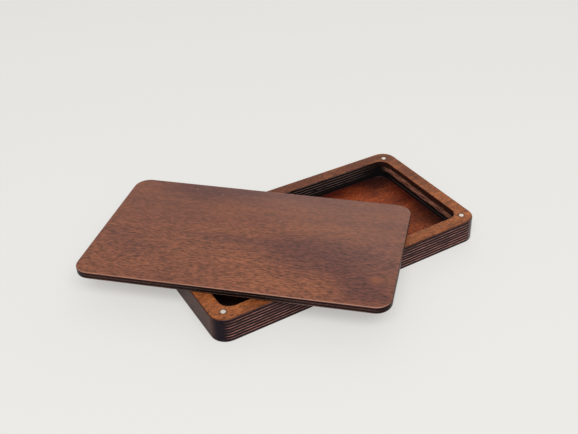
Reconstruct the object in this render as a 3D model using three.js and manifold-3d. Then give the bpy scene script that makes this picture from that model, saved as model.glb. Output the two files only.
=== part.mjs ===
// A shallow wooden case in two parts: a milled plywood tray, and a loose plywood lid with the same
// outline that magnets hold down. The lid lies askew across the tray, as when the case is left open.
//
// Millimetres, +Z up. The origin is the centre of the tray's underside, and +X runs along its length.

import * as THREE from 'three';
import { mergeVertices } from 'three/addons/utils/BufferGeometryUtils.js';
import Module from 'manifold-3d';

const wasm = await Module();
wasm.setup();

// The outline that the tray and the lid share
const CASE_LENGTH = 272;
const CASE_WIDTH = 150;
const CORNER_RADIUS = 14;
const EDGE_ROUND = 1.3;

// The tray: one thick panel with a flat-bottomed pocket milled into it
const TRAY_HEIGHT = 24;
const RIM_WIDTH = 13.5;
const POCKET_DEPTH = 18.5;
const POCKET_CORNER_RADIUS = 10.5;
const POCKET_CHAMFER = 0.5;
const CLEAR_HEIGHT = 10;

// The lid: one thin flat panel
const LID_THICKNESS = 7;
const LID_SHIFT_X = -62;
const LID_SHIFT_Y = 5.8;
const LID_TURN = THREE.MathUtils.degToRad(-43.9);

// The disc magnets, glued flush into blind seats in the rim and in the lid's underside
const MAGNET_RADIUS = 2.5;
const MAGNET_THICKNESS = 3;
const MAGNET_CHAMFER = 0.25;
const MAGNET_INSET = 11.5;

// Clearance between pieces that touch
const GAP = 0.3;

const ARC_STEPS = 8;
const ROUND_STEPS = 3;
const DISC_STEPS = 28;

const CORNERS = [
  { name: 'front_left', x: -1, y: -1 },
  { name: 'front_right', x: 1, y: -1 },
  { name: 'back_right', x: 1, y: 1 },
  { name: 'back_left', x: -1, y: 1 },
];

const WOOD_TRAY = { color: 0x6b3a20, roughness: 0.55, metalness: 0 };
const WOOD_LID = { color: 0x7a4e40, roughness: 0.5, metalness: 0 };
const NICKEL = { color: 0xcfc4b6, roughness: 0.3, metalness: 1 };

// A rectangle with round corners, centred on the origin
function roundedRectangle(length, width, radius) {
  const x = length / 2 - radius;
  const y = width / 2 - radius;
  const shape = new THREE.Shape();
  shape.absarc(x, y, radius, 0, Math.PI / 2);
  shape.absarc(-x, y, radius, Math.PI / 2, Math.PI);
  shape.absarc(-x, -y, radius, Math.PI, 1.5 * Math.PI);
  shape.absarc(x, -y, radius, 1.5 * Math.PI, 2 * Math.PI);
  shape.closePath();
  return shape;
}

// A slab from z = 0 to z = height whose outline is smaller by `edge` at both faces
function slab(length, width, radius, height, edge, edgeSteps) {
  const geometry = new THREE.ExtrudeGeometry(roundedRectangle(length, width, radius), {
    depth: height - 2 * edge,
    curveSegments: ARC_STEPS,
    bevelThickness: edge,
    bevelSize: edge,
    bevelOffset: -edge,
    bevelSegments: edgeSteps,
  });
  return geometry.translate(0, 0, edge);
}

// A closed geometry as a solid that can be cut
function toSolid(geometry) {
  const bare = geometry.clone();
  bare.deleteAttribute('normal');
  bare.deleteAttribute('uv');
  const merged = mergeVertices(bare);
  const mesh = new wasm.Mesh({
    numProp: 3,
    vertProperties: new Float32Array(merged.attributes.position.array),
    triVerts: new Uint32Array(merged.index.array),
  });
  return new wasm.Manifold(mesh);
}

function toGeometry(solid) {
  const mesh = solid.getMesh();
  const geometry = new THREE.BufferGeometry();
  geometry.setAttribute('position', new THREE.BufferAttribute(mesh.vertProperties, 3));
  geometry.setIndex(new THREE.BufferAttribute(mesh.triVerts, 1));
  const faceted = geometry.toNonIndexed();
  faceted.computeVertexNormals();
  return faceted;
}

function magnetPlace(corner, z) {
  const x = corner.x * (CASE_LENGTH / 2 - MAGNET_INSET);
  const y = corner.y * (CASE_WIDTH / 2 - MAGNET_INSET);
  return new THREE.Vector3(x, y, z);
}

// The four blind seats, as cylinders centred at height z
function magnetSeats(z) {
  const radius = MAGNET_RADIUS + GAP;
  const depth = MAGNET_THICKNESS + GAP;
  return CORNERS.map((corner) => {
    const seat = new THREE.CylinderGeometry(radius, radius, 2 * depth, DISC_STEPS);
    seat.rotateX(Math.PI / 2);
    const place = magnetPlace(corner, z);
    return toSolid(seat.translate(place.x, place.y, place.z));
  });
}

function cutAll(solid, cutters) {
  return cutters.reduce((left, cutter) => left.subtract(cutter), solid);
}

// The pocket: straight walls, a flat floor, and a small chamfer where it meets the rim. Both cutters
// stand up into clear air above the rim, so that the cut leaves no skin.
function pocketCutters() {
  const length = CASE_LENGTH - 2 * RIM_WIDTH;
  const width = CASE_WIDTH - 2 * RIM_WIDTH;
  const well = slab(length, width, POCKET_CORNER_RADIUS, POCKET_DEPTH + CLEAR_HEIGHT, 0, 0);
  well.translate(0, 0, TRAY_HEIGHT - POCKET_DEPTH);
  const flareLength = length + 2 * POCKET_CHAMFER;
  const flareWidth = width + 2 * POCKET_CHAMFER;
  const flareRadius = POCKET_CORNER_RADIUS + POCKET_CHAMFER;
  const flare = slab(flareLength, flareWidth, flareRadius, CLEAR_HEIGHT, POCKET_CHAMFER, 1);
  flare.translate(0, 0, TRAY_HEIGHT - POCKET_CHAMFER);
  return [toSolid(well), toSolid(flare)];
}

function trayGeometry() {
  const block = toSolid(slab(CASE_LENGTH, CASE_WIDTH, CORNER_RADIUS, TRAY_HEIGHT, EDGE_ROUND, ROUND_STEPS));
  return toGeometry(cutAll(block, [...pocketCutters(), ...magnetSeats(TRAY_HEIGHT)]));
}

function lidGeometry() {
  const panel = toSolid(slab(CASE_LENGTH, CASE_WIDTH, CORNER_RADIUS, LID_THICKNESS, EDGE_ROUND, ROUND_STEPS));
  return toGeometry(cutAll(panel, magnetSeats(0)));
}

// A disc from z = 0 to z = MAGNET_THICKNESS with broken edges
function magnetGeometry() {
  const inner = MAGNET_RADIUS - MAGNET_CHAMFER;
  const profile = [
    new THREE.Vector2(0, 0),
    new THREE.Vector2(inner, 0),
    new THREE.Vector2(MAGNET_RADIUS, MAGNET_CHAMFER),
    new THREE.Vector2(MAGNET_RADIUS, MAGNET_THICKNESS - MAGNET_CHAMFER),
    new THREE.Vector2(inner, MAGNET_THICKNESS),
    new THREE.Vector2(0, MAGNET_THICKNESS),
  ];
  return new THREE.LatheGeometry(profile, DISC_STEPS).rotateX(Math.PI / 2);
}

function piece(name, geometry, finish) {
  const mesh = new THREE.Mesh(geometry, new THREE.MeshStandardMaterial(finish));
  mesh.name = name;
  return mesh;
}

// Four magnets whose lower faces are at height z
function magnets(prefix, z) {
  return CORNERS.map((corner) => {
    const magnet = piece(`${prefix}_magnet_${corner.name}`, magnetGeometry(), NICKEL);
    magnet.position.copy(magnetPlace(corner, z));
    return magnet;
  });
}

const tray = new THREE.Group();
tray.add(piece('tray', trayGeometry(), WOOD_TRAY));
tray.add(...magnets('tray', TRAY_HEIGHT - MAGNET_THICKNESS));

const lid = new THREE.Group();
lid.add(piece('lid', lidGeometry(), WOOD_LID));
lid.add(...magnets('lid', 0));
lid.position.set(LID_SHIFT_X, LID_SHIFT_Y, TRAY_HEIGHT + GAP);
lid.rotation.z = LID_TURN;

const chipCase = new THREE.Group();
chipCase.add(tray, lid);

export default chipCase;
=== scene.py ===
import math

import bmesh
import bpy
from mathutils import Matrix, Vector


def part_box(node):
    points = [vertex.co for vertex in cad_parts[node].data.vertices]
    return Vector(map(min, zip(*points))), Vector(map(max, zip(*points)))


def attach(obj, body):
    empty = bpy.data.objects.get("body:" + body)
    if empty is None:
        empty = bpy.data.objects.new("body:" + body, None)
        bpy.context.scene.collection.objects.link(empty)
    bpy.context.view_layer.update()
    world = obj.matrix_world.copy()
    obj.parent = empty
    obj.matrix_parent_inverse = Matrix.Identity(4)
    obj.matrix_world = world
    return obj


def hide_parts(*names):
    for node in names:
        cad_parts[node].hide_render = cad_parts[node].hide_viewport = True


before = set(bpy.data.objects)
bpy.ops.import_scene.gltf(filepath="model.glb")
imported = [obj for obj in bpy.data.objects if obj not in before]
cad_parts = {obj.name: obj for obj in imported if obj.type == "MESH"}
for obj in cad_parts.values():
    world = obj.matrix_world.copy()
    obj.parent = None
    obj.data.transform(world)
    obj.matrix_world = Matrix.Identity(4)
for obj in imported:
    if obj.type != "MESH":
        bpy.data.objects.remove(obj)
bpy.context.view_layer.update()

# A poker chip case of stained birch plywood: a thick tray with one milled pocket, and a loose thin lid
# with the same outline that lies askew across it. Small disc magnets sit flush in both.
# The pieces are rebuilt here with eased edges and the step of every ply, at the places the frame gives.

MM = 0.001

# The outline that the tray and the lid share
TRAY_LOW, TRAY_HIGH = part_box("tray")
HALF_LENGTH = (TRAY_HIGH.x - TRAY_LOW.x) / 2
HALF_WIDTH = (TRAY_HIGH.y - TRAY_LOW.y) / 2
TRAY_HEIGHT = TRAY_HIGH.z - TRAY_LOW.z
CORNER_RADIUS = 14 * MM
EDGE_ROUND = 1.3 * MM

# The pocket milled into the tray
RIM_WIDTH = 13.5 * MM
POCKET_DEPTH = 18.5 * MM
POCKET_CORNER_RADIUS = 10.5 * MM
POCKET_EDGE_ROUND = 0.5 * MM
POCKET_FLOOR_ROUND = 0.6 * MM

# The plies that each panel is glued from. An end-grain ply sits a little lower than its neighbours.
TRAY_PLIES = 17
LID_PLIES = 5
PLY_STEP = 0.06 * MM
PLY_STEP_HEIGHT = 0.07 * MM

# The magnets and the seats that they are glued into
MAGNET_LOW, MAGNET_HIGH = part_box("tray_magnet_front_left")
MAGNET_RADIUS = (MAGNET_HIGH.x - MAGNET_LOW.x) / 2
MAGNET_THICKNESS = MAGNET_HIGH.z - MAGNET_LOW.z
MAGNET_EDGE_ROUND = 0.25 * MM
SEAT_RADIUS = MAGNET_RADIUS + 0.14 * MM
SEAT_EDGE_BREAK = 0.12 * MM
SEAT_CLEARANCE = 0.1 * MM

CORNER_NAMES = ("front_left", "front_right", "back_right", "back_left")

# How finely the outlines are cut
LONG_SIDE_STEPS = 48
SHORT_SIDE_STEPS = 26
CORNER_STEPS = 12
ROUND_STEPS = 5
DISC_STEPS = 56
SHARP_ANGLE = math.radians(38)

# The camera stands over the tray's near corner
CAMERA_PLACE = Vector((-0.3054, -0.5185, 0.4477))
CAMERA_TURN = math.radians(-34.62)
CAMERA_PITCH = math.radians(34.64)
CAMERA_ROLL = math.radians(0.78)
CAMERA_LENS = 49.18
CAMERA_SHIFT_X = -0.1246

# The tabletop, as two planes, in metres. The one that is seen glows a little, so that its shadows stay
# light. The other, just under it, isn't seen and throws the light back on the case.
FLOOR_HALF = 40
FLOOR_GLOW = 0.42
FLOOR_GLOW_COLOUR = (1.0, 0.992, 0.958, 1)
FLOOR_COLOURS = ((0.382, 0.379, 0.366, 1), (0.388, 0.385, 0.372, 1))
BOUNCE_COLOURS = ((0.50, 0.495, 0.48, 1), (0.51, 0.505, 0.49, 1))
BOUNCE_HEIGHT = -0.2 * MM

# The room: how bright it is level with the case and overhead. A bright wall behind the case puts a soft
# sheen on the wood. Its edge fades between two cosines of the angle from its middle.
ROOM_COLOUR = (1.0, 0.995, 0.98, 1)
ROOM_AT_HORIZON = 0.48
ROOM_OVERHEAD = 0.34
BRIGHT_WALL = 0.42
BRIGHT_WALL_TURN = math.radians(46)
BRIGHT_WALL_RISE = math.radians(28)
BRIGHT_WALL_EDGE = (0.70, 0.96)

# The one lamp, high in front
KEY_TURN = math.radians(247)
KEY_RISE = math.radians(53)
KEY_DISTANCE = 4.5
KEY_SIZE = (4.2, 1.8)
KEY_POWER = 171


# ---------------------------------------------------------------- meshes

def rounded_rectangle(half_x, half_y, radius):
    """Points and outward normals around a rectangle with round corners, anticlockwise from its right side."""
    corner_x = half_x - radius
    corner_y = half_y - radius
    corners = ((corner_x, corner_y), (-corner_x, corner_y), (-corner_x, -corner_y), (corner_x, -corner_y))
    points = []
    for quarter, (x, y) in enumerate(corners):
        for step in range(CORNER_STEPS + 1):
            angle = math.pi / 2 * (quarter + step / CORNER_STEPS)
            normal = Vector((math.cos(angle), math.sin(angle)))
            points.append((Vector((x, y)) + radius * normal, normal))
        side_steps = LONG_SIDE_STEPS if quarter % 2 == 0 else SHORT_SIDE_STEPS
        along = Vector((-normal.y, normal.x))
        side_length = 2 * (corner_x if quarter % 2 == 0 else corner_y)
        start = points[-1][0]
        for step in range(1, side_steps):
            points.append((start + along * side_length * step / side_steps, normal))
    return points


def circle(radius, centre=(0, 0)):
    points = []
    for step in range(DISC_STEPS):
        angle = 2 * math.pi * step / DISC_STEPS
        normal = Vector((math.cos(angle), math.sin(angle)))
        points.append((Vector(centre) + radius * normal, normal))
    return points


def add_ring(mesh, outline, z, inset_at=None):
    """One loop of vertices around an outline. `inset_at` gives how far inside it a point sits, by normal."""
    ring = []
    for point, normal in outline:
        inset = inset_at(normal) if inset_at else 0
        place = point - normal * inset
        ring.append(mesh.verts.new((place.x, place.y, z)))
    return ring


def bridge(mesh, ring, following):
    count = len(ring)
    for i in range(count):
        j = (i + 1) % count
        mesh.faces.new((ring[i], ring[j], following[j], following[i]))


def bridge_all(mesh, rings):
    for ring, following in zip(rings, rings[1:]):
        bridge(mesh, ring, following)


def ring_edges(mesh, ring):
    count = len(ring)
    edges = []
    for i in range(count):
        pair = (ring[i], ring[(i + 1) % count])
        edges.append(mesh.edges.get(pair) or mesh.edges.new(pair))
    return edges


def fill_between(mesh, rings, normal_z):
    """A flat face that one ring bounds and the others pierce."""
    edges = [edge for ring in rings for edge in ring_edges(mesh, ring)]
    filled = bmesh.ops.triangle_fill(mesh, use_beauty=True, edges=edges, normal=(0, 0, normal_z))
    for face in filled["geom"]:
        if isinstance(face, bmesh.types.BMFace) and face.normal.z * normal_z < 0:
            face.normal_flip()


def ply_rings(mesh, outline, ply_height, ply_count, low, high, outward):
    """Rings up a wall between two heights. Each ply is a flat band, stepped in where its end grain shows."""
    rings = []
    for ply in range(ply_count):
        bottom = ply * ply_height + PLY_STEP_HEIGHT / 2
        top = (ply + 1) * ply_height - PLY_STEP_HEIGHT / 2
        along_x = ply % 2 == 0

        def step_in(normal):
            across = normal.x if along_x else normal.y
            return outward * PLY_STEP * across * across

        for z in (bottom, top):
            if low < z < high:
                rings.append(add_ring(mesh, outline, z, step_in))
    return rings


def seat(mesh, centre, face_z, depth_sign):
    """A blind magnet seat cut down (1) or up (-1) from a flat face. Returns its open ring, in that face."""
    depth = MAGNET_THICKNESS + SEAT_CLEARANCE
    rings = [
        add_ring(mesh, circle(SEAT_RADIUS + SEAT_EDGE_BREAK, centre), face_z),
        add_ring(mesh, circle(SEAT_RADIUS, centre), face_z - depth_sign * SEAT_EDGE_BREAK),
        add_ring(mesh, circle(SEAT_RADIUS, centre), face_z - depth_sign * depth),
    ]
    downward = rings if depth_sign > 0 else list(reversed(rings))
    bridge_all(mesh, downward)
    bottom = rings[-1] if depth_sign > 0 else list(reversed(rings[-1]))
    mesh.faces.new(bottom)
    return rings[0]


def eased(radius):
    """Insets and heights up a rounded bottom edge, from the flat face to the side."""
    steps = []
    for step in range(ROUND_STEPS + 1):
        angle = math.pi / 2 * step / ROUND_STEPS
        steps.append((radius * (1 - math.sin(angle)), radius * (1 - math.cos(angle))))
    return steps


def panel_rings(mesh, height, ply_count):
    """Rings up the whole side of a panel: bottom round, plies, top round."""
    def ring_at(inset, z):
        outline = rounded_rectangle(HALF_LENGTH - inset, HALF_WIDTH - inset, CORNER_RADIUS - inset)
        return add_ring(mesh, outline, z)

    outline = rounded_rectangle(HALF_LENGTH, HALF_WIDTH, CORNER_RADIUS)
    steps = eased(EDGE_ROUND)
    rings = [ring_at(inset, z) for inset, z in steps]
    rings += ply_rings(mesh, outline, height / ply_count, ply_count, EDGE_ROUND, height - EDGE_ROUND, 1)
    rings += [ring_at(inset, height - z) for inset, z in reversed(steps)]
    return rings


def pocket_rings(mesh):
    """Rings from the rim down the pocket's wall to its floor."""
    half_x = HALF_LENGTH - RIM_WIDTH
    half_y = HALF_WIDTH - RIM_WIDTH
    floor_z = TRAY_HEIGHT - POCKET_DEPTH

    def ring_at(inset, z):
        outline = rounded_rectangle(half_x - inset, half_y - inset, POCKET_CORNER_RADIUS - inset)
        return add_ring(mesh, outline, z)

    outline = rounded_rectangle(half_x, half_y, POCKET_CORNER_RADIUS)
    edge_steps = eased(POCKET_EDGE_ROUND)
    floor_steps = eased(POCKET_FLOOR_ROUND)
    rings = [ring_at(-inset, TRAY_HEIGHT - z) for inset, z in edge_steps]
    low = floor_z + POCKET_FLOOR_ROUND
    high = TRAY_HEIGHT - POCKET_EDGE_ROUND
    walls = ply_rings(mesh, outline, TRAY_HEIGHT / TRAY_PLIES, TRAY_PLIES, low, high, -1)
    rings += list(reversed(walls))
    rings += [ring_at(inset, floor_z + z) for inset, z in reversed(floor_steps)]
    return rings


def add_object(name, data):
    added = bpy.data.objects.new(name, data)
    bpy.context.scene.collection.objects.link(added)
    return added


def add_mesh_object(name, mesh):
    data = bpy.data.meshes.new(name)
    mesh.to_mesh(data)
    mesh.free()
    return add_object(name, data)


def finish_mesh(mesh, name):
    """An object with smooth faces, crisp edges and the mesh given."""
    mesh.normal_update()
    for face in mesh.faces:
        face.smooth = True
    for edge in mesh.edges:
        edge.smooth = edge.calc_face_angle(0) < SHARP_ANGLE
    piece = add_mesh_object(name, mesh)
    shading = piece.modifiers.new("even_normals", "WEIGHTED_NORMAL")
    shading.keep_sharp = True
    return piece


def centre_of(node):
    low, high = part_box(node)
    return (low + high) / 2


def build_tray():
    mesh = bmesh.new()
    outside = panel_rings(mesh, TRAY_HEIGHT, TRAY_PLIES)
    mesh.faces.new(list(reversed(outside[0])))
    bridge_all(mesh, outside)
    inside = pocket_rings(mesh)
    bridge_all(mesh, inside)
    mesh.faces.new(inside[-1])
    seats = []
    for corner in CORNER_NAMES:
        place = centre_of(f"tray_magnet_{corner}")
        seats.append(seat(mesh, (place.x, place.y), TRAY_HEIGHT, 1))
    fill_between(mesh, [outside[-1], inside[0], *seats], 1)
    return finish_mesh(mesh, "tray_body")


def build_lid(place, turn, height):
    mesh = bmesh.new()
    outside = panel_rings(mesh, height, LID_PLIES)
    bridge_all(mesh, outside)
    mesh.faces.new(outside[-1])
    to_local = Matrix.Rotation(-turn, 4, "Z") @ Matrix.Translation(-place)
    seats = []
    for corner in CORNER_NAMES:
        spot = to_local @ centre_of(f"lid_magnet_{corner}")
        seats.append(seat(mesh, (spot.x, spot.y), 0, -1))
    fill_between(mesh, [outside[0], *seats], -1)
    lid = finish_mesh(mesh, "lid_panel")
    lid.matrix_world = Matrix.Translation(place) @ Matrix.Rotation(turn, 4, "Z")
    return lid


def build_magnet(node):
    """A disc with rounded edges, in the middle of its CAD node."""
    mesh = bmesh.new()
    half = MAGNET_THICKNESS / 2
    steps = eased(MAGNET_EDGE_ROUND)
    rings = [add_ring(mesh, circle(MAGNET_RADIUS - inset), z - half) for inset, z in steps]
    rings += [add_ring(mesh, circle(MAGNET_RADIUS - inset), half - z) for inset, z in reversed(steps)]
    mesh.faces.new(list(reversed(rings[0])))
    bridge_all(mesh, rings)
    mesh.faces.new(rings[-1])
    magnet = finish_mesh(mesh, f"{node}_disc")
    magnet.location = centre_of(node)
    return magnet


# ---------------------------------------------------------------- materials

class Shader:
    """Short ways to add and join the nodes of one material."""

    def __init__(self, name):
        self.material = bpy.data.materials.new(name)
        self.material.use_nodes = True
        self.tree = self.material.node_tree
        self.surface = self.tree.nodes["Principled BSDF"]

    def put(self, socket, value):
        """Link a socket, or set its own value."""
        if isinstance(value, bpy.types.NodeSocket):
            self.tree.links.new(value, socket)
        else:
            socket.default_value = value

    def surface_has(self, name, value):
        self.put(self.surface.inputs[name], value)

    def math(self, operation, *values, clamp=False):
        node = self.tree.nodes.new("ShaderNodeMath")
        node.operation = operation
        node.use_clamp = clamp
        for socket, value in zip(node.inputs, values):
            self.put(socket, value)
        return node.outputs[0]

    def add(self, a, b):
        return self.math("ADD", a, b)

    def minus(self, a, b):
        return self.math("SUBTRACT", a, b)

    def times(self, a, b):
        return self.math("MULTIPLY", a, b)

    def absolute(self, a):
        return self.math("ABSOLUTE", a)

    def between(self, value, low, high, from_value=0.0, to_value=1.0):
        """A smooth step of `value` from `low` to `high`."""
        node = self.tree.nodes.new("ShaderNodeMapRange")
        node.interpolation_type = "SMOOTHSTEP"
        self.put(node.inputs["Value"], value)
        self.put(node.inputs["From Min"], low)
        self.put(node.inputs["From Max"], high)
        self.put(node.inputs["To Min"], from_value)
        self.put(node.inputs["To Max"], to_value)
        return node.outputs["Result"]

    def join(self, x, y, z):
        node = self.tree.nodes.new("ShaderNodeCombineXYZ")
        for socket, value in zip(node.inputs, (x, y, z)):
            self.put(socket, value)
        return node.outputs[0]

    def split(self, vector):
        node = self.tree.nodes.new("ShaderNodeSeparateXYZ")
        self.put(node.inputs[0], vector)
        return node.outputs

    def noise(self, vector, scale=1.0, detail=2.0, roughness=0.5, distortion=0.0):
        """Fractal noise, about 0 to 1 around 0.5."""
        node = self.tree.nodes.new("ShaderNodeTexNoise")
        self.put(node.inputs["Vector"], vector)
        self.put(node.inputs["Scale"], scale)
        self.put(node.inputs["Detail"], detail)
        self.put(node.inputs["Roughness"], roughness)
        self.put(node.inputs["Distortion"], distortion)
        return node.outputs["Fac"]

    def random(self, value):
        node = self.tree.nodes.new("ShaderNodeTexWhiteNoise")
        node.noise_dimensions = "1D"
        self.put(node.inputs["W"], value)
        return node.outputs["Value"]

    def mix(self, factor, a, b):
        """From colour `a` to colour `b`."""
        node = self.tree.nodes.new("ShaderNodeMix")
        node.data_type = "RGBA"
        node.clamp_factor = True
        self.put(node.inputs[0], factor)
        self.put(node.inputs[6], a)
        self.put(node.inputs[7], b)
        return node.outputs[2]

    def mix_value(self, factor, a, b):
        """From number `a` to number `b`."""
        node = self.tree.nodes.new("ShaderNodeMix")
        node.clamp_factor = True
        self.put(node.inputs[0], factor)
        self.put(node.inputs[2], a)
        self.put(node.inputs[3], b)
        return node.outputs[0]

    def shade(self, colour, factor):
        """A colour made darker or lighter by a factor."""
        node = self.tree.nodes.new("ShaderNodeVectorMath")
        node.operation = "SCALE"
        self.put(node.inputs[0], colour)
        self.put(node.inputs["Scale"], factor)
        return node.outputs[0]

    def lacquer(self, weight, roughness):
        """A thin clear finish over the colour."""
        self.surface_has("Coat Weight", weight)
        self.surface_has("Coat Roughness", roughness)

    def bump(self, height, distance, strength):
        node = self.tree.nodes.new("ShaderNodeBump")
        self.put(node.inputs["Height"], height)
        self.put(node.inputs["Distance"], distance)
        self.put(node.inputs["Strength"], strength)
        self.surface_has("Normal", node.outputs["Normal"])

    def place_mm(self):
        """The place in the piece's own frame, in millimetres, and the direction that the surface faces."""
        node = self.tree.nodes.new("ShaderNodeTexCoord")
        scaled = self.tree.nodes.new("ShaderNodeVectorMath")
        scaled.operation = "SCALE"
        self.put(scaled.inputs[0], node.outputs["Object"])
        scaled.inputs["Scale"].default_value = 1 / MM
        return self.split(scaled.outputs[0]), self.split(node.outputs["Normal"])


class Ply:
    """Where a point of a plywood panel lies: in which ply, how its grain runs, how much end grain shows.

    The even plies run along x and the odd ones across. The two faces count as running along x all over.
    """

    def __init__(self, shader, height_mm, count):
        (x, y, z), (nx, ny, nz) = shader.place_mm()
        self.x, self.y, self.z = x, y, z
        self.normal_x, self.normal_y = nx, ny
        self.wall_x = shader.absolute(nx)
        just_inside = shader.math("MINIMUM", shader.math("MAXIMUM", z, 0.01), height_mm - 0.01)
        in_plies = shader.math("DIVIDE", just_inside, height_mm / count)
        self.index = shader.math("FLOOR", in_plies)
        self.side = shader.between(shader.absolute(nz), 0.35, 0.80, 1, 0)
        crossed = shader.times(shader.math("MODULO", self.index, 2), self.side)
        self.luck = shader.random(shader.add(self.index, 0.5))
        shift = shader.times(self.luck, 300)
        self.along = shader.add(shader.mix_value(crossed, x, y), shift)
        self.across = shader.add(shader.mix_value(crossed, y, x), shift)
        facing = shader.mix_value(crossed, self.wall_x, shader.absolute(ny))
        self.end_grain = shader.between(facing, 0.12, 0.60)
        self.with_grain = shader.minus(1, self.end_grain)
        from_middle = shader.absolute(shader.minus(shader.math("FRACT", in_plies), 0.5))
        self.core = shader.between(from_middle, 0.02, 0.31, 1, 0)
        self.eased = shader.times(shader.between(nz, 0.25, 0.55), shader.between(nz, 0.90, 0.995, 1, 0))

    def grain(self, shader, along_scale, across_scale, seed, detail=3.0, roughness=0.55, distortion=0.0):
        """Noise drawn out along the ply's grain. The scales are in features per mm."""
        vector = shader.join(
            shader.times(self.along, along_scale),
            shader.times(self.across, across_scale),
            shader.add(shader.times(self.z, across_scale), seed),
        )
        return shader.noise(vector, 1.0, detail, roughness, distortion)


# What the tray's and the lid's wood share: a low reflection under the oil, how strongly its relief
# shows, how dark a fleck gets, and how far a patch reaches past its half sizes
WOOD_SPECULAR = 0.07
WOOD_BUMP = 0.6
DARKEST_FLECK = 0.25
PATCH_REACH = 1.35


def about(shader, noise, amount):
    """Noise turned into an amount more or less than nothing."""
    return shader.times(shader.minus(noise, 0.5), amount)


def patch(shader, ply, wander, centre_x, centre_y, half_x, half_y):
    """A soft-edged patch: 1 at its centre, 0 outside it. `wander` moves its edge about."""
    dx = shader.math("DIVIDE", shader.minus(ply.x, centre_x), half_x)
    dy = shader.math("DIVIDE", shader.minus(ply.y, centre_y), half_y)
    away = shader.math("SQRT", shader.add(shader.times(dx, dx), shader.times(dy, dy)))
    return shader.between(shader.add(away, wander), 0.0, PATCH_REACH, 1, 0)


def clouded(shader, ply, tone, wander, clouds):
    """The tone of a veneer with the patches in it that took more or less stain, held to 0 to 1."""
    for *place, strength in clouds:
        tone = shader.add(tone, shader.times(patch(shader, ply, wander, *place), strength))
    return shader.math("ADD", tone, 0.0, clamp=True)


def flecked(shader, colour, flecks):
    """A veneer's colour with its short dark and light flecks."""
    return shader.shade(colour, shader.math("MAXIMUM", shader.add(1.0, flecks), DARKEST_FLECK))


def relief_of(shader, fibres, pores):
    """How high a veneer's surface stands, in shares of the bump's depth: fibres rise, pores sink."""
    return shader.add(shader.times(fibres, 0.7), shader.times(pores, -0.6))


# Where a pale orange streaky band crosses the pocket's right end wall: its depth below the rim in mm at the
# back and at the front, and the depth of the thin pale line under it
BAND_DEPTH_BACK = 8.0
BAND_DEPTH_FRONT = 9.5
PALE_LINE_DEPTH = 15.6

# The dark ring of stain around each of the tray's magnets, and the worn rim of the magnet itself, in mm
STAIN_RING = 3.8
GRIME_WIDTH = 0.7

# Patches of the tray's veneer that took more stain: centre, half length and half width in mm, then how
# strongly they darken (below 0) or lighten (above 0)
TRAY_CLOUDS = (
    (20, 68, 100, 10, -0.75),
    (92, 68, 44, 10, -0.40),
    (130, 16, 11, 56, -0.45),
    (-78, -68, 46, 9, -0.28),
)

# Dark patches painted on the pocket's floor as painted shade: under the lid's front edge at its near-left
# corner, then in its two right-hand corners. In the same order, with their strength
POCKET_SHADE_PATCHES = (
    (-112, -52, 46, 40, 1.6),
    (118, -38, 36, 50, 0.75),
    (114, 56, 34, 24, 0.85),
)


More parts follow.
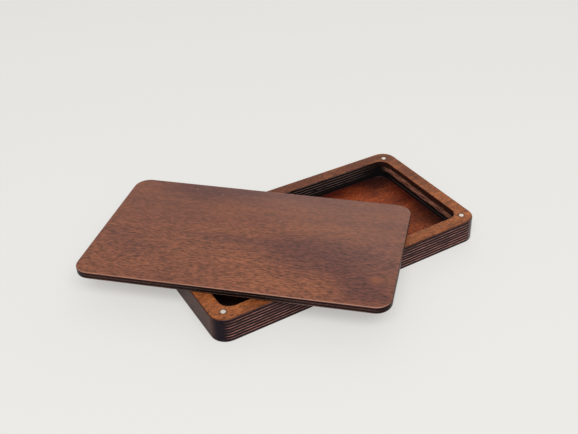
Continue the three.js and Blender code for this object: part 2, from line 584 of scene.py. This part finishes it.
def tray_material():
    shader = Shader("stained_birch_tray")
    height_mm = TRAY_HEIGHT / MM
    ply = Ply(shader, height_mm, TRAY_PLIES)
    half_x = (HALF_LENGTH - RIM_WIDTH) / MM
    half_y = (HALF_WIDTH - RIM_WIDTH) / MM
    depth = shader.minus(height_mm, ply.z)
    from_wall_x = shader.minus(half_x, shader.absolute(ply.x))
    from_wall_y = shader.minus(half_y, shader.absolute(ply.y))
    from_wall = shader.math("MINIMUM", from_wall_x, from_wall_y)
    inside = shader.between(from_wall, -0.9, -0.5)

    dashes = ply.grain(shader, 0.34, 0.85, 3.1, 2.0, 0.80)
    figure = ply.grain(shader, 0.03, 0.16, 9.4, 3.0, 0.6, 0.4)
    broad = ply.grain(shader, 0.022, 0.035, 23.9, 2.0, 0.5)
    fibres = ply.grain(shader, 0.20, 5.0, 11.7, 2.0, 0.6)
    pores = shader.between(ply.grain(shader, 0.4, 3.0, 31.4, 1.0, 0.5), 0.58, 0.72)

    # The face veneer of the rim. On the pocket's floor it is redder and darker, partly the milled wood's own
    # tone and partly painted shade, and it is painted darker still where the walls meet it, as painted shade
    tone = shader.add(0.5, about(shader, figure, 1.0))
    tone = shader.add(tone, about(shader, broad, 0.8))
    wander = about(shader, broad, 0.8)
    tone = clouded(shader, ply, tone, wander, TRAY_CLOUDS)
    rim = shader.mix(tone, (0.135, 0.035, 0.011, 1), (0.400, 0.124, 0.036, 1))
    low = shader.between(depth, 4.0, 8.0)
    floor = shader.mix(tone, (0.120, 0.017, 0.006, 1), (0.430, 0.092, 0.026, 1))
    # Painted shade: the floor is painted dark red near the foot of its walls, reaching furthest in the
    # corners
    from_walls = shader.add(from_wall_x, from_wall_y)
    to_corner = shader.math("DIVIDE", shader.times(from_wall_x, from_wall_y), from_walls)
    wall_shade_reach = shader.add(to_corner, about(shader, broad, 14.0))
    floor = shader.mix(shader.between(wall_shade_reach, 1.0, 18.0, 0.92, 0.0), floor, (0.045, 0.006, 0.004, 1))
    # Painted shade: the floor is painted almost black in these patches
    for *place, strength in POCKET_SHADE_PATCHES:
        shade_patch = shader.times(patch(shader, ply, wander, *place), strength)
        floor = shader.mix(shade_patch, floor, (0.012, 0.006, 0.005, 1))
    face = flecked(shader, shader.mix(low, rim, floor), about(shader, dashes, 3.6))
    face = shader.mix(shader.times(pores, 0.30), face, (0.04, 0.012, 0.006, 1))

    # The eased edges: dark around the outside, brown into the pocket, and a pale painted highlight along the
    # pocket's front edge, where it faces the bright wall behind
    outer = shader.times(ply.eased, shader.minus(1, inside))
    inner = shader.times(shader.times(ply.eased, inside), shader.between(depth, 1.0, 2.0, 1, 0))
    face = shader.mix(shader.times(outer, 0.70), face, (0.045, 0.014, 0.010, 1))
    face = shader.mix(shader.times(inner, 0.60), face, (0.07, 0.020, 0.012, 1))
    # Painted highlight: the inner edge is painted pale where it faces the back
    front_edge_highlight = shader.times(inner, shader.between(ply.normal_y, 0.1, 0.5))
    face = shader.mix(shader.times(front_edge_highlight, 0.75), face, (0.40, 0.22, 0.14, 1))
    for corner in CORNER_NAMES:
        spot = centre_of(f"tray_magnet_{corner}") / MM
        ring = patch(shader, ply, 0.0, spot.x, spot.y, STAIN_RING, STAIN_RING)
        face = shader.mix(shader.times(ring, 0.8), face, (0.04, 0.012, 0.008, 1))

    # The sides: plies cut along the grain are pale in their core, plies cut across it are almost black
    broken = ply.grain(shader, 0.06, 0.06, 57.3, 3.0, 0.7)
    strength = shader.between(shader.add(broken, about(shader, ply.luck, 0.25)), 0.25, 0.72, 0.30, 1.0)
    strength = shader.times(strength, shader.between(ply.z, 0.4, 3.4, 0.20, 1.0))
    strength = shader.times(strength, shader.between(depth, 1.3, 1.6, 0.12, 1.0))
    pale = shader.mix(ply.wall_x, (0.640, 0.295, 0.230, 1), (0.300, 0.112, 0.072, 1))
    dark_end = shader.mix(ply.wall_x, (0.016, 0.008, 0.008, 1), (0.054, 0.019, 0.012, 1))
    dark = shader.mix(ply.end_grain, dark_end, (0.011, 0.006, 0.010, 1))
    blotches = ply.grain(shader, 0.16, 0.16, 77.7, 3.0, 0.65)
    uneven = shader.add(1.0, about(shader, blotches, 1.4))
    dark = shader.shade(dark, shader.times(shader.add(0.6, fibres), uneven))
    strands = ply.grain(shader, 0.10, 0.9, 91.3, 3.0, 0.75)
    pale = shader.shade(pale, shader.math("MAXIMUM", shader.add(1.0, about(shader, strands, 3.4)), 0.2))
    lit = shader.times(shader.times(ply.core, strength), ply.with_grain)
    edge = shader.mix(lit, dark, pale)
    # Painted reflection: where the side faces +x it is painted grey-brown, for the glare on the right end's
    # rounded corner. This covers the whole right end
    right_end_glare = shader.between(ply.normal_x, 0.10, 0.55)
    edge = shader.mix(shader.times(right_end_glare, 0.75), edge, (0.240, 0.200, 0.200, 1))

    # Inside the pocket the walls are near black, so that only thin broken lines stay pale. Deeper than 10 mm
    # these lines fade out, as painted shade
    thin = shader.math("POWER", ply.core, 2.0)
    glints = shader.times(shader.between(broken, 0.28, 0.50), shader.between(depth, 10.0, 16.0, 1, 0))
    glints = shader.times(glints, shader.between(from_wall_x, 6.0, 46.0))
    glints = shader.times(shader.times(thin, glints), ply.with_grain)
    wall = shader.mix(fibres, (0.003, 0.003, 0.003, 1), (0.008, 0.007, 0.008, 1))
    right_end = shader.times(ply.wall_x, shader.between(ply.x, 0, 20))
    red_top = shader.times(right_end, shader.between(depth, 2.0, 7.0, 1, 0))
    wall = shader.mix(shader.times(red_top, 0.8), wall, (0.040, 0.012, 0.009, 1))
    wall = shader.mix(shader.times(glints, 0.8), wall, (0.30, 0.22, 0.20, 1))
    share = shader.math("DIVIDE", shader.add(ply.y, half_y), 2 * half_y)
    # A pale orange streaky band across the right end wall, raised a little in the bump
    band_depth = shader.mix_value(share, BAND_DEPTH_FRONT, BAND_DEPTH_BACK)
    ragged = shader.join(shader.times(ply.y, 0.05), shader.times(ply.z, 0.2), 71.0)
    ragged = shader.noise(ragged, 1.0, 4.0, 0.7)
    streaky = shader.join(shader.times(ply.y, 0.07), shader.times(ply.z, 1.1), 83.0)
    streaky = shader.noise(streaky, 1.0, 4.0, 0.75)
    off = shader.minus(shader.add(depth, about(shader, ragged, 5.0)), band_depth)
    band = shader.between(shader.absolute(off), 0.8, 4.2, 1, 0)
    band = shader.times(band, shader.between(streaky, 0.40, 0.60))
    band = shader.times(band, shader.between(from_wall_y, 1.0, 12.0))
    wall = shader.mix(shader.times(band, right_end), wall, (0.64, 0.27, 0.175, 1))
    off_line = shader.absolute(shader.minus(depth, PALE_LINE_DEPTH))
    line = shader.times(shader.between(off_line, 0.15, 0.60, 1, 0), shader.between(from_wall_y, 6.0, 20.0))
    wall = shader.mix(shader.times(shader.times(line, right_end), 0.35), wall, (0.24, 0.19, 0.18, 1))

    edge = shader.mix(inside, edge, wall)
    shader.surface_has("Base Color", shader.mix(ply.side, face, edge))
    shader.surface_has("Roughness", shader.add(shader.times(fibres, 0.16), 0.30))
    shader.surface_has("Specular IOR Level", WOOD_SPECULAR)
    shader.lacquer(shader.mix_value(ply.side, shader.mix_value(low, 0.28, 0.04), 0.0), 0.38)
    relief = shader.add(relief_of(shader, fibres, pores), shader.times(band, right_end))
    shader.bump(relief, 0.04 * MM, WOOD_BUMP)
    return shader.material


# The same for the lid's veneer, in mm of the lid's own frame
LID_CLOUDS = (
    (48, -12, 56, 26, -0.62),
    (92, -24, 44, 25, -0.58),
    (98, -47, 30, 16, -0.22),
    (-55, 66, 70, 22, -0.60),
    (40, 66, 90, 16, -0.30),
    (-72, 34, 30, 14, -0.20),
    (-22, -7, 22, 9, -0.25),
    (-92, -36, 26, 12, -0.20),
    (-20, 7, 44, 7, 0.30),
    (4, -32, 42, 18, 0.30),
    (30, -60, 82, 14, 0.34),
    (110, -60, 30, 17, -0.72),
    (-112, 10, 26, 40, -0.10),
    (122, 6, 26, 46, -0.25),
    (-70, 66, 50, 16, -0.15),
    (80, 22, 40, 7, 0.22),
)

# The pale round spot in the lid's face, the stretch of its front edge over the pocket that is painted dark as
# painted shade, and three pale specks
LID_SPOT = (118.5, -41, 6.5, 6.5)
LID_EDGE_SHADE = (2, -75, 62, 24)
LID_SPECKS = ((-73.1, 66.2), (-46, 60.4), (18.9, 28.1))
LID_SPECK_HALF = (0.75, 0.55)


def lid_material(height_mm):
    shader = Shader("stained_birch_lid")
    ply = Ply(shader, height_mm, LID_PLIES)
    dashes = ply.grain(shader, 0.20, 1.00, 5.3, 2.0, 0.75)
    figure = ply.grain(shader, 0.010, 0.16, 13.6, 3.0, 0.6, 0.2)
    broad = ply.grain(shader, 0.020, 0.034, 41.7, 2.0, 0.5)
    fibres = ply.grain(shader, 0.18, 4.5, 17.2, 2.0, 0.6)
    pores = shader.between(ply.grain(shader, 0.35, 2.6, 47.1, 1.0, 0.5), 0.60, 0.74)

    # The face veneer, with flecks that are fainter towards the back
    wander = about(shader, ply.grain(shader, 0.03, 0.06, 61.0, 3.0, 0.6), 1.0)
    tone = shader.add(0.62, about(shader, figure, 0.8))
    tone = shader.add(tone, about(shader, broad, 0.7))
    tone = clouded(shader, ply, tone, wander, LID_CLOUDS)
    face = shader.mix(tone, (0.118, 0.036, 0.025, 1), (0.240, 0.077, 0.033, 1))
    flecks = shader.times(about(shader, dashes, 1.0), shader.between(ply.y, -30, 60, 3.8, 2.1))
    face = flecked(shader, face, flecks)
    face = shader.mix(shader.times(pores, 0.20), face, (0.04, 0.015, 0.012, 1))
    spot = patch(shader, ply, 0.0, *LID_SPOT)
    face = shader.mix(shader.times(spot, 0.75), face, (0.27, 0.082, 0.036, 1))
    # Painted light on the eased top edges: a pale painted highlight where they face the front, and painted
    # shade on the other edges
    in_front = shader.between(ply.normal_y, -0.40, -0.10, 1, 0)
    edge_light_and_shade = shader.mix(in_front, (0.055, 0.020, 0.016, 1), (0.54, 0.28, 0.20, 1))
    face = shader.mix(shader.times(ply.eased, shader.mix_value(in_front, 0.30, 0.50)), face, edge_light_and_shade)

    # The sides: pale and dark plies, a stretch painted dark as painted shade, and a thin rubbed line near the
    # bottom
    broken = ply.grain(shader, 0.05, 0.05, 67.3, 3.0, 0.7)
    strength = shader.between(broken, 0.25, 0.75, 0.5, 1.0)
    strength = shader.times(strength, shader.between(ply.z, 0.3, 2.4, 0.1, 1.0))
    pale = shader.mix(ply.wall_x, (0.105, 0.040, 0.033, 1), (0.170, 0.110, 0.100, 1))
    dark = shader.shade((0.012, 0.004, 0.004), shader.add(0.5, fibres))
    lit = shader.times(shader.times(ply.core, strength), ply.with_grain)
    edge = shader.mix(lit, dark, pale)
    # Painted shade: the front edge is painted almost black over the pocket's opening
    edge_shade = shader.between(patch(shader, ply, wander, *LID_EDGE_SHADE), 0.0, 0.65, 0.0, 0.97)
    edge = shader.mix(edge_shade, edge, (0.006, 0.004, 0.004, 1))
    rub = shader.times(shader.between(ply.z, 0.3, 0.7), shader.between(ply.z, 0.9, 1.4, 1, 0))
    rub = shader.times(rub, shader.between(broken, 0.35, 0.60))
    rub = shader.times(rub, shader.minus(1, edge_shade))
    edge = shader.mix(shader.times(rub, 0.8), edge, (0.30, 0.19, 0.17, 1))
    colour = shader.mix(ply.side, face, edge)
    for speck_x, speck_y in LID_SPECKS:
        speck = patch(shader, ply, 0.0, speck_x, speck_y, *LID_SPECK_HALF)
        colour = shader.mix(shader.times(speck, 0.6), colour, (0.60, 0.50, 0.45, 1))

    # The oil has more polish towards the back right
    shader.surface_has("Base Color", colour)
    shader.surface_has("Roughness", shader.add(shader.times(fibres, 0.14), 0.26))
    shader.surface_has("Specular IOR Level", WOOD_SPECULAR)
    toward_back_right = shader.add(ply.x, shader.times(ply.y, 1.5))
    polish = shader.between(toward_back_right, 10, 150, 0.52, 0.90)
    shader.lacquer(shader.mix_value(ply.side, polish, 0.0), 0.36)
    shader.bump(relief_of(shader, fibres, pores), 0.03 * MM, WOOD_BUMP)
    return shader.material


def magnet_material():
    shader = Shader("nickel_plate")
    (x, y, z), _ = shader.place_mm()
    cloudy = shader.noise(shader.join(x, y, z), 0.45, 3.0, 0.6)
    scratches = shader.noise(shader.join(shader.times(x, 1.2), shader.times(y, 22.0), z), 1.0, 2.0, 0.6)
    colour = shader.mix(cloudy, (0.88, 0.74, 0.64, 1), (1.0, 0.94, 0.86, 1))
    from_middle = shader.math("SQRT", shader.add(shader.times(x, x), shader.times(y, y)))
    rim = MAGNET_RADIUS / MM
    grime = shader.between(from_middle, rim - GRIME_WIDTH, rim, 0.0, 0.75)
    shader.surface_has("Base Color", shader.mix(grime, colour, (0.24, 0.13, 0.09, 1)))
    shader.surface_has("Metallic", 1.0)
    shader.surface_has("Roughness", shader.add(shader.times(scratches, 0.3), 0.22))
    shader.bump(scratches, 0.01 * MM, 0.5)
    return shader.material


def floor_material(name, colours, glow):
    """A pale tabletop, faintly uneven between two colours. `glow` lights it from within."""
    shader = Shader(name)
    (x, y, z), _ = shader.place_mm()
    faint = shader.noise(shader.join(x, y, z), 0.004, 2.0, 0.5)
    shader.surface_has("Base Color", shader.mix(faint, *colours))
    shader.surface_has("Roughness", 0.75)
    shader.surface_has("Specular IOR Level", 0.1)
    shader.surface_has("Emission Color", FLOOR_GLOW_COLOUR)
    shader.surface_has("Emission Strength", glow)
    return shader.material


# ---------------------------------------------------------------- studio

def add_floor(name, z, material):
    mesh = bmesh.new()
    corners = ((-1, -1), (1, -1), (1, 1), (-1, 1))
    mesh.faces.new([mesh.verts.new((x * FLOOR_HALF, y * FLOOR_HALF, z)) for x, y in corners])
    floor = add_mesh_object(name, mesh)
    floor.data.materials.append(material)
    return floor


def build_floor():
    """The tabletop that is seen, and just under it the one whose light falls back on the case."""
    seen = add_floor("floor", 0.0, floor_material("pale_sweep", FLOOR_COLOURS, FLOOR_GLOW))
    seen.visible_diffuse = False
    seen.visible_shadow = False
    bounce = add_floor("floor_bounce", BOUNCE_HEIGHT, floor_material("pale_bounce", BOUNCE_COLOURS, 0.0))
    bounce.visible_camera = False
    bounce.visible_glossy = False


def way(turn, rise):
    """The direction that is turned so far from +X and rises so far above level."""
    return Vector((math.cos(rise) * math.cos(turn), math.cos(rise) * math.sin(turn), math.sin(rise)))


def add_softbox(name, place, size, power):
    """A flat soft lamp that faces the case."""
    light = bpy.data.lights.new(name, "AREA")
    light.shape = "RECTANGLE"
    light.size, light.size_y = size
    light.energy = power
    lamp = add_object(name, light)
    lamp.location = place
    lamp.rotation_euler = (-place).to_track_quat("-Z", "Y").to_euler()


def build_studio():
    """A pale room and one wide soft light, high in front."""
    world = bpy.data.worlds.new("studio")
    world.use_nodes = True
    nodes = world.node_tree.nodes
    links = world.node_tree.links
    direction = nodes.new("ShaderNodeTexCoord")
    split = nodes.new("ShaderNodeSeparateXYZ")
    links.new(direction.outputs["Generated"], split.inputs[0])

    def fade(value, low, high, at_low, at_high, interpolation):
        node = nodes.new("ShaderNodeMapRange")
        node.interpolation_type = interpolation
        links.new(value, node.inputs["Value"])
        for name, number in (("From Min", low), ("From Max", high), ("To Min", at_low), ("To Max", at_high)):
            node.inputs[name].default_value = number
        return node.outputs["Result"]

    towards = nodes.new("ShaderNodeVectorMath")
    towards.operation = "DOT_PRODUCT"
    links.new(direction.outputs["Generated"], towards.inputs[0])
    towards.inputs[1].default_value = way(BRIGHT_WALL_TURN, BRIGHT_WALL_RISE)
    sky = fade(split.outputs["Z"], 0.0, 1.0, ROOM_AT_HORIZON, ROOM_OVERHEAD, "LINEAR")
    wall = fade(towards.outputs["Value"], *BRIGHT_WALL_EDGE, 0.0, BRIGHT_WALL, "SMOOTHSTEP")
    backdrop = nodes["Background"]
    backdrop.inputs["Color"].default_value = ROOM_COLOUR
    both = nodes.new("ShaderNodeMath")
    links.new(sky, both.inputs[0])
    links.new(wall, both.inputs[1])
    links.new(both.outputs[0], backdrop.inputs["Strength"])
    bpy.context.scene.world = world
    add_softbox("key", way(KEY_TURN, KEY_RISE) * KEY_DISTANCE, KEY_SIZE, KEY_POWER)
    bpy.context.scene.view_settings.view_transform = "Standard"
    bpy.context.scene.view_settings.look = "None"


def build_camera():
    data = bpy.data.cameras.new("camera")
    data.sensor_width = 36
    data.lens = CAMERA_LENS
    data.shift_x = CAMERA_SHIFT_X
    data.clip_start = 0.01
    camera = add_object("camera", data)
    turn = Matrix.Rotation(CAMERA_TURN, 4, "Z")
    tilt = Matrix.Rotation(math.pi / 2 - CAMERA_PITCH, 4, "X")
    roll = Matrix.Rotation(CAMERA_ROLL, 4, "Z")
    camera.matrix_world = Matrix.Translation(CAMERA_PLACE) @ turn @ tilt @ roll
    bpy.context.scene.camera = camera


# ---------------------------------------------------------------- the case

def lid_frame():
    """The middle of the lid's underside, the lid's turn and its thickness, from the frame's boxes."""
    spots = {corner: centre_of(f"lid_magnet_{corner}") for corner in CORNER_NAMES}
    middle = sum(spots.values(), Vector()) / len(spots)
    low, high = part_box("lid")
    along = spots["front_right"] - spots["front_left"]
    return Vector((middle.x, middle.y, low.z)), math.atan2(along.y, along.x), high.z - low.z


build_camera()
build_studio()
build_floor()

tray = build_tray()
tray.data.materials.append(tray_material())
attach(tray, "tray")
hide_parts("tray")

lid_place, lid_turn, lid_thickness = lid_frame()
lid = build_lid(lid_place, lid_turn, lid_thickness)
lid.data.materials.append(lid_material(lid_thickness / MM))
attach(lid, "lid")
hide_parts("lid")

nickel = magnet_material()
for body in ("tray", "lid"):
    for corner in CORNER_NAMES:
        node = f"{body}_magnet_{corner}"
        magnet = build_magnet(node)
        magnet.data.materials.append(nickel)
        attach(magnet, body)
        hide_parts(node)
